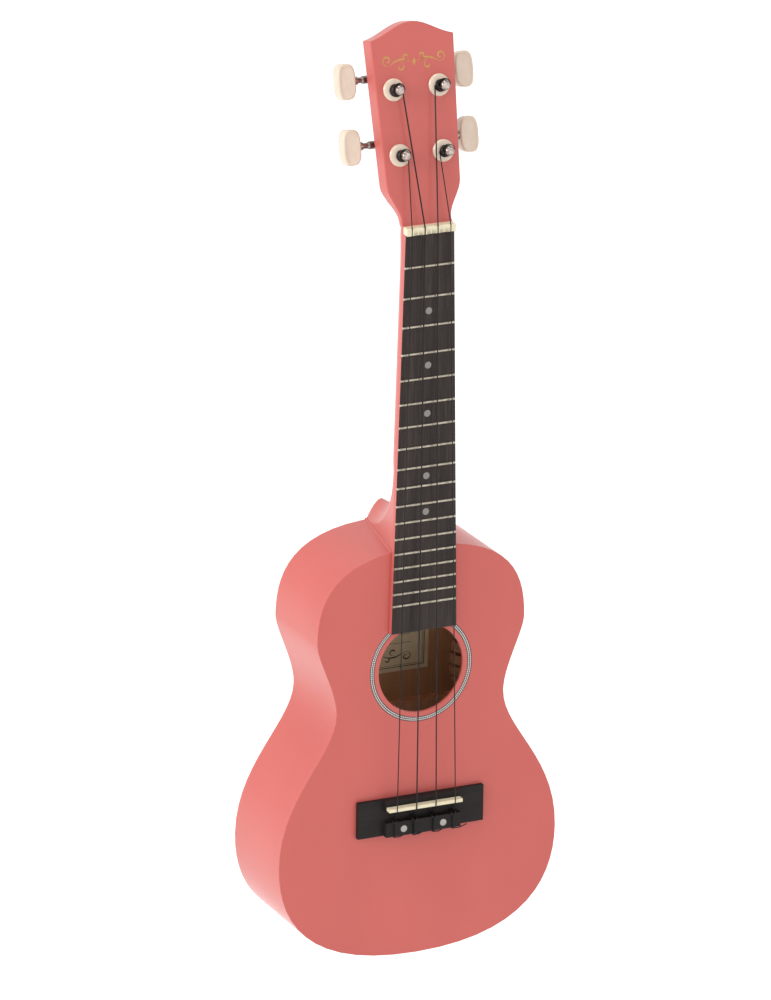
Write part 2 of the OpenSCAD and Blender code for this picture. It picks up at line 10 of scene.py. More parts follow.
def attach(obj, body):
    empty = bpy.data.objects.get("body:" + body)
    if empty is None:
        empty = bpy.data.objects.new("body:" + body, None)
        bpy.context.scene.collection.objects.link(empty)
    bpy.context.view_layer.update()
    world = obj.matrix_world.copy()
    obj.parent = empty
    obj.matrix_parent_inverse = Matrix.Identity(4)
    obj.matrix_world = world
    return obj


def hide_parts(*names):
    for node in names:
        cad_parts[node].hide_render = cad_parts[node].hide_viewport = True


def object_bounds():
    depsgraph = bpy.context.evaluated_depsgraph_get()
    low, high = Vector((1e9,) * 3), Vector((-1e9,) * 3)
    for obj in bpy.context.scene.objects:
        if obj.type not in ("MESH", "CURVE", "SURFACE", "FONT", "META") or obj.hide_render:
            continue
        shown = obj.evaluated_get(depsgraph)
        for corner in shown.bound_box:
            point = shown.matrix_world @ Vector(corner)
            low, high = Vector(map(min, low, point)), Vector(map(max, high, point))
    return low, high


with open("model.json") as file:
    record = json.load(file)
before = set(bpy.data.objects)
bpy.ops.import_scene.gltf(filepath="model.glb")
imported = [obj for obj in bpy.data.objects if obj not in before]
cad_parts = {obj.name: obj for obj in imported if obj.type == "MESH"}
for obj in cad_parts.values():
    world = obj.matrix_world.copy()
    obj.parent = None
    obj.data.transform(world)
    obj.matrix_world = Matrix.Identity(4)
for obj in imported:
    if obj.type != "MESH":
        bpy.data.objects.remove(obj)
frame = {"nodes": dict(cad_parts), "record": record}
cad_low, cad_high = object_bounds()

MM = 0.001
NODES = frame["nodes"]
STRINGS = ("g", "c", "e", "a")
SLOT_OF = {part["node"]: part["material_slot"] for part in frame["record"]["subparts"]}
BODY_OF = {node: body for body, nodes in frame["record"]["behaviour"]["bodies"].items() for node in nodes}


# ---------------------------------------------------------------- dimensions, in millimetres

# These repeat the design's own numbers, in the same frame as the CAD.

# Body
HOLE_Z = -291.3
HOLE_EDGE = 31
ROSETTE_MIDDLE = 34.55
ROSETTE_CLEAR = 45
BODY_TOP = -208.8
PLATE = 2
BACK_AT_NECK = 63.9
BACK_TILT = math.radians(1.706)
LABEL_X, LABEL_Z = 1, -290.5
LABEL_HALF = (35, 27)
LABEL_THICKNESS = 0.3

# Linings: a row of blocks, each from near the side to its sloped inner edge
BLOCK_PITCH = 7.3
BLOCK_HALF_LENGTH = 3.05
BLOCK_REACH = (2.05, 7.9)
BLOCK_FOOT = 1.8
FRONT_LINING_HEIGHT = 8
BACK_LINING_HEIGHT = 12

# Neck and headstock, whose row frame is across, up the face and out of it
BOARD_THICKNESS = 3.4
NUT_LENGTH = 5
NUT_EDGE = 17.1
HEAD_TILT = math.radians(12.7)
ORNAMENT_UP = 107
ORNAMENT_SCALE = 1.2

# Tuners, in the order of the strings
POST_X = (-15, -15.7, 15.7, 15)
POST_S = (49.5, 90.7, 90.7, 49.5)
POST_RADIUS = 3
FLANGE_HEIGHT = 2.3
STRING_HOLE_HEIGHT = 8.6
SCREW_PLACES = (-9, 13.5)
WORM_OFFSET = 7
WORM_DEPTH = 17.5
BUTTON_IN, BUTTON_OUT = 34.4, 47
BUTTON_HEIGHT = 23.5
BUTTON_THICKNESS = 8.8
BUTTON_ROUNDNESS = 3.1

# Strings and bridge
STRING_RADIUS = (0.34, 0.46, 0.42, 0.34)
STRING_AT_NUT = -5.3
STRING_AT_SADDLE = -11.1
NUT_PITCH = 8.95
SADDLE_PITCH = 13.77
SADDLE_Z = -382
SADDLE_END = 25.9
TIE_BLOCK_Z = -391.6
TIE_BLOCK_HEIGHT = 7.4
TIE_HOLE_HEIGHT = 4.4
BRIDGE_END_Z = -401.3
TAIL_REACH = (9.5, 9, 9.5, 12)
TAIL_SAG = (1.2, 1, 1.4, 1.2)

# Meshes: points closer than MERGE, in metres, are one; shading breaks at angles above SMOOTH_BELOW
MERGE = 2e-6
SMOOTH_BELOW = math.radians(38)

HEAD_UP = Vector((0, math.sin(HEAD_TILT), math.cos(HEAD_TILT)))
HEAD_OUT = Vector((0, -math.cos(HEAD_TILT), math.sin(HEAD_TILT)))
ACROSS = Vector((1, 0, 0))


def on_head(x, up, out):
    """A point given across, up and out of the headstock's face, in the row frame."""
    return ACROSS * x + HEAD_UP * up + HEAD_OUT * out


# ---------------------------------------------------------------- materials

def srgb(red, green, blue):
    """A colour given as 0-255 screen values."""
    levels = [level / 255 for level in (red, green, blue)]
    return tuple(c / 12.92 if c <= 0.04045 else ((c + 0.055) / 1.055) ** 2.4 for c in levels) + (1,)


class Shader:
    """A principled material under construction, over object coordinates in millimetres."""

    def __init__(self, name, roughness=0.5, **sockets):
        self.material = bpy.data.materials.new(name)
        self.material.use_nodes = True
        self.tree = self.material.node_tree
        self.surface = self.tree.nodes["Principled BSDF"]
        self.surface.inputs["Roughness"].default_value = roughness
        for socket, value in sockets.items():
            self.surface.inputs[socket.replace("_", " ")].default_value = value
        self.place = self.tree.nodes.new("ShaderNodeTexCoord").outputs["Object"]
        self.bumps = None

    def node(self, kind, inputs=None, **settings):
        """A new shader node: each input is a value or the socket that feeds it."""
        made = self.tree.nodes.new("ShaderNode" + kind)
        for key, value in settings.items():
            setattr(made, key, value)
        for key, value in (inputs or {}).items():
            if isinstance(value, bpy.types.NodeSocket):
                self.tree.links.new(value, made.inputs[key])
            else:
                made.inputs[key].default_value = value
        return made

    def scaled(self, size):
        """Coordinates in which one unit is size millimetres, along x, y and z."""
        scale = tuple(1 / (length * MM) for length in size)
        return self.node("Mapping", {"Vector": self.place, "Scale": scale}).outputs[0]

    def noise(self, size, detail=3, distortion=0, roughness=0.5):
        """Noise from 0 to 1 whose grains have the given size, in millimetres along x, y and z."""
        return self.node("TexNoise", {
            "Vector": self.scaled(size), "Scale": 1, "Detail": detail,
            "Roughness": roughness, "Distortion": distortion,
        }).outputs["Fac"]

    def math(self, operation, first, second=0.0):
        return self.node("Math", {0: first, 1: second}, operation=operation).outputs[0]

    def axis(self, index):
        return self.node("SeparateXYZ", {0: self.place}).outputs[index]

    def ramp(self, value, *stops):
        """Colours by value: each stop is (position, colour)."""
        made = self.node("ValToRGB", {"Fac": value})
        elements = made.color_ramp.elements
        while len(elements) < len(stops):
            elements.new(0.5)
        for element, (position, colour) in zip(elements, stops):
            element.position, element.color = position, colour
        return made.outputs["Color"]

    def grey(self, value, low, high, bottom=0.0, top=1.0):
        """The value, stretched from low-high to bottom-top and clamped there."""
        return self.node("MapRange", {0: value, 1: low, 2: high, 3: bottom, 4: top}).outputs[0]

    def mix(self, factor, first, second):
        """A blend of two colours. The node's colour sockets are its inputs 6 and 7."""
        made = self.node("Mix", data_type="RGBA")
        for socket, value in zip((made.inputs[0], made.inputs[6], made.inputs[7]), (factor, first, second)):
            if isinstance(value, bpy.types.NodeSocket):
                self.tree.links.new(value, socket)
            else:
                socket.default_value = value
        return made.outputs[2]

    def colour(self, value):
        self.link(value, "Base Color")

    def roughness(self, value):
        self.link(value, "Roughness")

    def link(self, value, socket):
        self.tree.links.new(value, self.surface.inputs[socket])

    def bump(self, height, distance):
        """Adds relief of the given depth in millimetres to the surface."""
        inputs = {"Height": height, "Distance": distance * MM, "Strength": 1.0}
        if self.bumps:
            inputs["Normal"] = self.bumps
        self.bumps = self.node("Bump", inputs).outputs[0]
        self.link(self.bumps, "Normal")


def coral_paint():
    s = Shader(
        "coral_paint", Coat_Weight=0.15, Coat_Roughness=0.4, Specular_IOR_Level=0.38,
        Sheen_Weight=0.35, Sheen_Roughness=0.3,
    )
    broad = s.noise((70, 70, 110), detail=2)
    fine = s.noise((0.9, 0.9, 0.9), detail=2)
    s.colour(s.ramp(s.mix(0.25, broad, fine), (0.3, srgb(171, 76, 69)), (0.7, srgb(177, 81, 74))))
    s.roughness(s.grey(fine, 0.3, 0.7, 0.4, 0.5))
    s.bump(s.noise((1.3, 1.3, 1.3), detail=1), 0.02)
    return s.material


def bare_wood(name, dark, light, streak=1.0):
    """Planed wood with its grain along z."""
    s = Shader(name, roughness=0.75, Specular_IOR_Level=0.25)
    grain = s.noise((streak, streak, streak * 40), detail=4, distortion=0.4)
    bands = s.noise((9 * streak, 9 * streak, 160), detail=2)
    tone = s.math("ADD", s.math("MULTIPLY", grain, 0.6), s.math("MULTIPLY", bands, 0.4))
    s.colour(s.ramp(tone, (0.35, dark), (0.65, light)))
    s.bump(grain, 0.08)
    return s.material


def dark_wood(name, along, dark, middle, light, wear):
    """Stained hardwood: fine pores and streaks along one axis, made a little glossier all over by wear."""
    def grain(thin, long):
        return [long if axis == along else thin for axis in range(3)]

    s = Shader(name, Specular_IOR_Level=0.22)
    streaks = s.noise(grain(0.55, 26), detail=5, distortion=0.2, roughness=0.65)
    pores = s.grey(s.noise(grain(0.22, 5), detail=2), 0.62, 0.72)
    bands = s.noise(grain(6, 120), detail=2)
    tone = s.math("ADD", s.math("MULTIPLY", streaks, 0.65), s.math("MULTIPLY", bands, 0.35))
    wood = s.ramp(tone, (0.36, dark), (0.5, middle), (0.66, light))
    s.colour(s.mix(s.math("MULTIPLY", pores, 0.6), wood, dark))
    s.roughness(s.grey(streaks, 0.3, 0.7, 0.62 - wear, 0.7 - wear))
    s.bump(s.math("SUBTRACT", s.math("MULTIPLY", streaks, 0.5), pores), 0.03)
    return s.material


def bone():
    s = Shader("bone", roughness=0.35, Subsurface_Weight=0.15, Subsurface_Scale=0.001, Coat_Weight=0.2)
    s.surface.inputs["Subsurface Radius"].default_value = (1, 0.8, 0.5)
    fine = s.noise((2.5, 0.8, 0.8), detail=4, distortion=0.5)
    s.colour(s.ramp(fine, (0.3, srgb(194, 183, 152)), (0.7, srgb(206, 196, 168))))
    s.bump(s.noise((0.6, 0.3, 0.3), detail=2), 0.012)
    return s.material


def ivory_plastic():
    s = Shader(
        "ivory_plastic", Subsurface_Weight=0.2, Subsurface_Scale=0.0015,
        Coat_Weight=0.3, Coat_Roughness=0.15,
    )
    s.surface.inputs["Subsurface Radius"].default_value = (1, 0.85, 0.6)
    cloud = s.noise((6, 6, 9), detail=3, distortion=0.6)
    s.colour(s.ramp(cloud, (0.3, srgb(190, 171, 152)), (0.7, srgb(198, 181, 163))))
    s.roughness(s.grey(s.noise((1.5, 1.5, 1.5)), 0.3, 0.7, 0.3, 0.42))
    s.bump(s.noise((1.1, 1.1, 1.1), detail=1), 0.01)
    return s.material


def metal(name, dark, light, rough, brush):
    """Plated metal with faint tarnish and fine polishing marks."""
    s = Shader(name, Metallic=1.0)
    tarnish = s.noise((2.4, 2.4, 2.4), detail=5, roughness=0.6)
    s.colour(s.ramp(tarnish, (0.32, dark), (0.62, light)))
    s.roughness(s.grey(s.noise(brush, detail=3), 0.3, 0.7, rough, rough + 0.16))
    s.bump(s.noise(brush, detail=2), 0.006)
    return s.material


def pearl(name, shade):
    """Mother-of-pearl in thin wavy layers; a shade below 1 darkens all its tones, which paints shade on it.
    """
    s = Shader(name, roughness=0.3, Coat_Weight=0.3, Coat_Roughness=0.08)
    layers = s.noise((1.6, 1.6, 0.7), detail=3, distortion=1.5)
    tones = (0.3, (122, 124, 120)), (0.45, (154, 146, 138)), (0.58, (138, 136, 128)), (0.72, (170, 162, 152))
    s.colour(s.ramp(layers, *((place, srgb(*(shade * level for level in tone))) for place, tone in tones)))
    s.bump(layers, 0.01)
    return s.material


def nylon():
    s = Shader("nylon_string", roughness=0.35, Specular_IOR_Level=0.25)
    fine = s.noise((0.5, 0.5, 6), detail=2)
    s.colour(s.ramp(fine, (0.3, srgb(12, 10, 10)), (0.7, srgb(24, 20, 20))))
    s.bump(fine, 0.008)
    return s.material


def rosette_inlay():
    """Two bands of slanted rope pattern between three dark lines."""
    s = Shader("rosette_inlay", roughness=0.35, Coat_Weight=0.3, Coat_Roughness=0.2)
    across, along = s.axis(0), s.math("ADD", s.axis(2), -HOLE_Z * MM)
    squares = s.math("ADD", s.math("MULTIPLY", across, across), s.math("MULTIPLY", along, along))
    radius = s.math("SQRT", squares)
    turn = s.math("ARCTAN2", along, across)
    offset = s.math("DIVIDE", s.math("SUBTRACT", radius, ROSETTE_MIDDLE * MM), MM)
    away = s.math("ABSOLUTE", offset)
    slant = s.math("ADD", s.math("MULTIPLY", turn, 150), s.math("MULTIPLY", away, 3.2))
    weave = s.math("ADD", s.math("MULTIPLY", s.math("SINE", slant), 0.5), 0.5)
    strand = s.math("ADD", s.math("MULTIPLY", s.math("SINE", s.math("MULTIPLY", away, 13)), 0.5), 0.5)
    fleck = s.math("ADD", s.math("MULTIPLY", weave, 0.65), s.math("MULTIPLY", strand, 0.35))
    rope = s.ramp(fleck, (0.12, srgb(70, 60, 58)), (0.45, srgb(168, 160, 156)), (0.8, srgb(206, 200, 194)))
    line = s.math("MAXIMUM", s.math("GREATER_THAN", away, 0.98), s.math("LESS_THAN", away, 0.26))
    s.colour(s.mix(line, rope, srgb(22, 15, 15)))
    s.bump(fleck, 0.03)
    return s.material


def paper():
    """Aged paper with fibres."""
    s = Shader("paper", roughness=0.9, Specular_IOR_Level=0.1)
    fibres = s.noise((0.5, 0.5, 0.8), detail=4)
    stain = s.noise((18, 18, 22), detail=3)
    s.colour(s.ramp(s.mix(0.4, stain, fibres), (0.3, srgb(196, 172, 136)), (0.7, srgb(222, 203, 170))))
    s.bump(fibres, 0.03)
    return s.material


def ink():
    s = Shader("ink", roughness=0.8, Specular_IOR_Level=0.1)
    s.colour(s.ramp(s.noise((0.7, 0.7, 0.7)), (0.3, srgb(52, 42, 34)), (0.7, srgb(74, 62, 50))))
    return s.material


def gilding():
    """Worn gold leaf for the headstock's ornament."""
    s = Shader("gilding", Metallic=0.45)
    wear = s.noise((0.9, 0.9, 0.9), detail=4)
    s.colour(s.ramp(wear, (0.35, srgb(160, 112, 62)), (0.65, srgb(182, 136, 80))))
    s.roughness(s.grey(wear, 0.3, 0.7, 0.35, 0.55))
    s.bump(wear, 0.01)
    return s.material


def floor_white():
    s = Shader("floor_white", roughness=0.9, Specular_IOR_Level=0.1)
    s.colour(s.ramp(s.noise((400, 400, 400)), (0.3, (0.94, 0.94, 0.94, 1)), (0.7, (0.96, 0.96, 0.96, 1))))
    return s.material


PAINT = coral_paint()
INSIDE = bare_wood("inside_wood", srgb(172, 124, 86), srgb(188, 138, 98))
LINING = bare_wood("lining_wood", srgb(206, 148, 108), srgb(228, 170, 128), streak=0.8)
FRET_METAL = metal("fret_metal", srgb(140, 131, 118), srgb(170, 162, 148), 0.24, (3, 0.4, 0.4))
BOARD = dark_wood("fretboard_wood", 2, srgb(30, 23, 20), srgb(44, 36, 33), srgb(66, 56, 52), 0.06)
BRIDGE = dark_wood("bridge_wood", 0, srgb(15, 11, 11), srgb(23, 18, 17), srgb(34, 26, 24), 0.02)
BONE = bone()
IVORY = ivory_plastic()
NICKEL = metal("nickel", srgb(112, 102, 97), srgb(150, 140, 133), 0.2, (0.3, 0.3, 3))
BRASS = metal("brass", srgb(170, 124, 62), srgb(216, 176, 104), 0.28, (0.5, 0.5, 0.5))
PEARL = pearl("pearl", 1)
# The same pearl with painted shade: all its tones darkened, for the fret dots.
SHADED_PEARL = pearl("shaded_pearl", 0.78)
NYLON = nylon()
ROSETTE = rosette_inlay()
PAPER = paper()
INK = ink()
GILDING = gilding()
FINISH = {
    "coral_paint": PAINT, "inside_wood": INSIDE, "fretboard_wood": BOARD, "bridge_wood": BRIDGE,
    "bone": BONE, "ivory_plastic": IVORY, "nickel": NICKEL, "brass": BRASS, "pearl": PEARL,
    "rosette_inlay": ROSETTE, "nylon_string": NYLON, "paper": PAPER,
}


# ---------------------------------------------------------------- camera, light and floor

def make_camera():
    """A long lens to the left of the soundboard and above it, rolled a little."""
    azimuth, elevation, roll = math.radians(-25.46), math.radians(18.89), math.radians(0.78)
    back = Vector((
        math.sin(azimuth) * math.cos(elevation),
        -math.cos(azimuth) * math.cos(elevation),
        math.sin(elevation),
    ))
    right = (-back).cross(Vector((0, 0, 1))).normalized()
    up = right.cross(-back)
    across = right * math.cos(roll) + up * math.sin(roll)
    upright = up * math.cos(roll) - right * math.sin(roll)
    data = bpy.data.cameras.new("camera")
    data.lens = 253.1
    data.sensor_width = 36
    data.clip_start, data.clip_end = 0.1, 200
    camera = bpy.data.objects.new("camera", data)
    place = Matrix((across, upright, back)).transposed().to_4x4()
    place.translation = Vector((-1.836, -3.7999, 1.266))
    camera.matrix_world = place
    bpy.context.scene.collection.objects.link(camera)
    bpy.context.scene.camera = camera


def area_light(name, place, power, size):
    """A square light that faces the middle of the instrument."""
    data = bpy.data.lights.new(name, "AREA")
    data.size = size
    data.energy = power
    lamp = bpy.data.objects.new(name, data)
    lamp.location = place
    lamp.rotation_mode = "QUATERNION"
    lamp.rotation_quaternion = (Vector((0, 0, -0.2)) - Vector(place)).to_track_quat("-Z", "Y")
    bpy.context.scene.collection.objects.link(lamp)


def make_studio():
    world = bpy.data.worlds.new("studio")
    world.use_nodes = True
    sky = world.node_tree.nodes["Background"]
    sky.inputs["Color"].default_value = (1, 1, 1, 1)
    sky.inputs["Strength"].default_value = 1.0
    bpy.context.scene.world = world
    bpy.context.scene.view_settings.view_transform = "Standard"
    area_light("key", (-2.85, -0.5, 1.2), 70, 1.6)
    area_light("front", (1.6, -3.7, 0.9), 17, 1.6)
    sun = bpy.data.lights.new("overhead", "SUN")
    sun.energy = 0.9
    sun.angle = math.radians(30)
    bpy.context.scene.collection.objects.link(bpy.data.objects.new("overhead", sun))
    bpy.ops.mesh.primitive_plane_add(size=160, location=(0, 0, cad_low.z - 0.25))
    floor = bpy.context.object
    floor.name = "floor"
    floor.data.materials.append(floor_white())


# ---------------------------------------------------------------- pieces from CAD nodes

def finish_piece(name, bm, materials, body, replaces=()):
    """Turns a bmesh in metres into a smooth-shaded piece that rides on a body."""
    mesh = bpy.data.meshes.new(name)
    bmesh.ops.recalc_face_normals(bm, faces=bm.faces)
    for face in bm.faces:
        face.smooth = True
    bm.to_mesh(mesh)
    bm.free()
    mesh.set_sharp_from_angle(angle=SMOOTH_BELOW)
    for material in materials:
        mesh.materials.append(material)
    piece = bpy.data.objects.new(name, mesh)
    bpy.context.scene.collection.objects.link(piece)
    even = piece.modifiers.new("even_shading", "WEIGHTED_NORMAL")
    even.keep_sharp = True
    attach(piece, body)
    if replaces:
        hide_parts(*replaces)


def merged(node):
    """A CAD node's mesh with its split vertices joined."""
    bm = bmesh.new()
    bm.from_mesh(NODES[node].data)
    bmesh.ops.remove_doubles(bm, verts=bm.verts, dist=MERGE)
    return bm


def refined(node, bevels=(), materials=None, pick=None, shape=None):
    """A copy of a CAD node with its real edges rounded and its surface shaded smooth.

    bevels lists (test of an edge, width in millimetres, segments). pick gives the number of a face's
    material. shape may move the vertices first.
    """
    bm = merged(node)
    bmesh.ops.dissolve_limit(bm, angle_limit=math.radians(0.4), verts=bm.verts, edges=bm.edges)
    if shape:
        shape(bm)
    if pick:
        for face in bm.faces:
            face.material_index = pick(face)
    for test, width, segments in bevels:
        edges = [e for e in bm.edges if len(e.link_faces) == 2 and test(e)]
        bmesh.ops.bevel(
            bm, geom=edges, offset=width * MM, offset_type="OFFSET", segments=segments,
            profile=0.5, affect="EDGES", clamp_overlap=True,
        )
    kind = SLOT_OF[node]
    finish_piece(node + "_finished", bm, materials or [FINISH[kind]], BODY_OF[node], [node])


def middle(edge):
    """The middle of an edge, in millimetres."""
    return (edge.verts[0].co + edge.verts[1].co) / (2 * MM)


def sharp(edge, angle=35):
    return math.degrees(edge.calc_face_angle(0)) > angle


def body_rim():
    """The segments of the body's outline, as pairs of (x, z) in millimetres."""
    bm = merged("soundboard")
    segments = []
    for edge in bm.edges:
        at = middle(edge)
        if sharp(edge) and abs(at.y) < 0.01 and math.hypot(at.x, at.z - HOLE_Z) > ROSETTE_CLEAR:
            segments.append([(v.co.x / MM, v.co.z / MM) for v in edge.verts])
    bm.free()
    return segments


def distance_to(segments, x, z):
    """How far a point in x and z lies from the nearest of the segments."""
    best = 1e9
    for (ax, az), (bx, bz) in segments:
        dx, dz = bx - ax, bz - az
        t = ((x - ax) * dx + (z - az) * dz) / (dx * dx + dz * dz)
        t = min(max(t, 0), 1)
        best = min(best, math.hypot(x - ax - t * dx, z - az - t * dz))
    return best


def make_body():
    """The painted box, bare inside, with its inner woodwork."""
    rim = body_rim()

    def hole_distance(point):
        return math.hypot(point.x, point.z - HOLE_Z)

    def on_front(edge):
        return sharp(edge) and abs(middle(edge).y) < 0.01

    def inside(face):
        at = face.calc_center_median() / MM
        return int(distance_to(rim, at.x, at.z) > 0.7)

    refined(
        "soundboard",
        bevels=[
            (lambda e: on_front(e) and hole_distance(middle(e)) > ROSETTE_CLEAR, 1.1, 4),
            (lambda e: on_front(e) and hole_distance(middle(e)) < HOLE_EDGE, 0.35, 2),
        ],
        materials=[PAINT, INSIDE],
        pick=lambda f: int(f.normal.y > 0.9),
    )
    for node in ("side_bass", "side_treble"):
        refined(node, materials=[PAINT, INSIDE], pick=inside)
    refined(
        "back_plate",
        bevels=[(lambda e: sharp(e) and max(f.normal.y for f in e.link_faces) > 0.9, 1.0, 4)],
        materials=[PAINT, INSIDE],
        pick=lambda f: int(f.normal.y < -0.9),
    )
    for node in (
        "soundboard_braces", "back_braces", "bridge_plate", "neck_block", "tail_block", "neck_dowels",
    ):
        refined(node, materials=[LINING])
    refined("rosette")


def slope_fret_ends(bm):
    """Draws the ends of the fret crowns in towards their tops."""
    for vert in bm.verts:
        above = -BOARD_THICKNESS - vert.co.y / MM
        if above > 0.02 and abs(vert.co.x) > 15 * MM:
            vert.co.x -= math.copysign(0.9 * above * MM, vert.co.x)


def make_neck():
    """The neck with its headstock, and all that lies on it."""
    def headstock_edge(edge):
        at = middle(edge)
        if not sharp(edge, 40) or at.z < NUT_LENGTH + 0.5:
            return False
        up, out = at.dot(HEAD_UP), at.dot(HEAD_OUT)
        posts = list(zip(POST_X, POST_S))
        at_post = any(math.hypot(at.x - x, up - s) <= 5.5 for x, s in posts)
        at_screw = any(math.hypot(at.x - x, up - s - y) < 2 for x, s in posts for y in SCREW_PLACES)
        return not at_post and not at_screw and out < 0.5

    def board_edge(edge):
        on_top = abs(middle(edge).y + BOARD_THICKNESS) < 0.01
        along = all(abs(f.normal.x) > 0.9 or abs(f.normal.y) > 0.9 for f in edge.link_faces)
        return sharp(edge, 60) and on_top and along

    def nut_end(edge):
        return sharp(edge, 50) and abs(abs(middle(edge).x) - NUT_EDGE) < 0.05

    refined("neck", bevels=[(headstock_edge, 0.9, 3)], materials=[PAINT])
    refined(
        "fretboard",
        bevels=[(board_edge, 0.35, 2)],
        materials=[BOARD, PAINT],
        pick=lambda f: int(abs(f.normal.x) > 0.9),
    )
    refined("frets", materials=[FRET_METAL], shape=slope_fret_ends)
    # The fret dots take the pearl with painted shade.
    refined("fret_dots", materials=[SHADED_PEARL])
    refined("nut", bevels=[(nut_end, 0.5, 3)])


def chained(segments):
    """The segments' points in order: along an open line from one end, or round a closed outline."""
    links = {}
    for segment in segments:
        a, b = (tuple(round(c, 2) for c in point) for point in segment)
        links.setdefault(a, []).append(b)
        links.setdefault(b, []).append(a)
    chain = [min([point for point, near in links.items() if len(near) == 1] or links)]
    while True:
        ahead = [point for point in links[chain[-1]] if point not in chain[-2:]]
        if not ahead or ahead[0] == chain[0]:
            return chain
        chain.append(ahead[0])


def make_heel_bead():
    """The bead of paint along the joint between the heel and the sides."""
    rim = body_rim()
    bm = merged("neck")
    segments = []
    for edge in bm.edges:
        ends = [vert.co / MM for vert in edge.verts]
        on_joint = all(point.z < -200 and distance_to(rim, point.x, point.z) < 0.05 for point in ends)
        if on_joint and sharp(edge, 25) and max(point.y for point in ends) > 0.05:
            segments.append(ends)
    bm.free()
    bead = bmesh.new()
    line = [Vector(point) for point in chained(segments)]
    tube_into(bead, smoothed(line, 3), 1.0, 12)
    finish_piece("heel_bead", bead, [PAINT], "ukulele")


def make_bridge():
    """The bridge with its saddle, whose outer edges are rounded."""
    def bridge_edge(edge):
        at = middle(edge)
        outside = abs(at.x) > SADDLE_END + 0.5 or at.z > SADDLE_Z + 1.4 or at.z < TIE_BLOCK_Z + 0.1
        return sharp(edge, 60) and at.y < -0.5 and outside

    def saddle_edge(edge):
        at = middle(edge)
        return sharp(edge, 50) and (at.y < -9 or abs(at.x) > SADDLE_END)

    refined("bridge", bevels=[(bridge_edge, 0.7, 3)])
    refined("saddle", bevels=[(saddle_edge, 0.8, 3)])
    refined("bridge_dots", materials=[PEARL])
    refined("bridge_screws")


def make_tuners():
    """All of the tuners' metal, and the bushings."""
    refined("tuner_bushings")
    refined("plate_screws")
    for s in STRINGS:
        for node in ("post_", "worm_", "gear_", "gear_screw_", "tuner_plate_"):
            refined(node + s)


# ---------------------------------------------------------------- tubes: strings and windings

def skin_into(bm, outlines):
    """A closed skin over outlines with equally many points, given in millimetres."""
    rings = [[bm.verts.new(point * MM) for point in outline] for outline in outlines]
    count = len(rings[0])
    for low, high in zip(rings, rings[1:]):
        for k in range(count):
            m = (k + 1) % count
            bm.faces.new((low[k], low[m], high[m], high[k]))
    bm.faces.new(rings[0][::-1])
    bm.faces.new(rings[-1])


def headings(points):
    """The direction of a line at each of its points."""
    last = len(points) - 1
    return [(points[min(i + 1, last)] - points[max(i - 1, 0)]).normalized() for i in range(last + 1)]


def tube_into(bm, points, radius, sides=10):
    """Sweeps a circle along points in millimetres."""
    ahead = headings(points)
    side = ahead[0].orthogonal().normalized()
    outlines = []
    for point, heading in zip(points, ahead):
        side = (side - heading * side.dot(heading)).normalized()
        other = heading.cross(side)
        outlines.append([
            point + (side * math.cos(a) + other * math.sin(a)) * radius
            for a in (2 * math.pi * k / sides for k in range(sides))
        ])
    skin_into(bm, outlines)


def smoothed(points, steps):
    """A Catmull-Rom curve through the points, with so many steps from each to the next."""
    out = []
    for i in range(len(points) - 1):
        a, b = points[max(i - 1, 0)], points[i]
        c, d = points[i + 1], points[min(i + 2, len(points) - 1)]
        for k in range(steps):
            t = k / steps
            square = (2 * a - 5 * b + 4 * c - d) * t ** 2
            cube = (3 * b - a - 3 * c + d) * t ** 3
            out.append(0.5 * (2 * b + (c - a) * t + square + cube))
    return out + [points[-1]]


def side_of(i):
    """Which side of the headstock tuner i is on: -1 for bass, 1 for treble."""
    return -1 if i < 2 else 1


def string_x(i, pitch):
    return (i - 1.5) * pitch


def spiral(cx, cy, start, end, turn_from, turn_to, steps=40):
    """Points in a plane round a centre, from one radius and turn to another."""
    out = []
    for k in range(steps + 1):
        t = k / steps
        angle = 2 * math.pi * (turn_from + (turn_to - turn_from) * t)
        radius = start + (end - start) * t
        out.append((cx + radius * math.cos(angle), cy + radius * math.sin(angle)))
    return out


def wrap(i, radii, turns, heights, steps):
    """Points on a spiral round post i. radii, turns and heights are pairs: from and to."""
    low, high = heights
    around = spiral(POST_X[i], POST_S[i], *radii, *turns, steps)
    return [on_head(x, up, low + (high - low) * (k / steps)) for k, (x, up) in enumerate(around)]


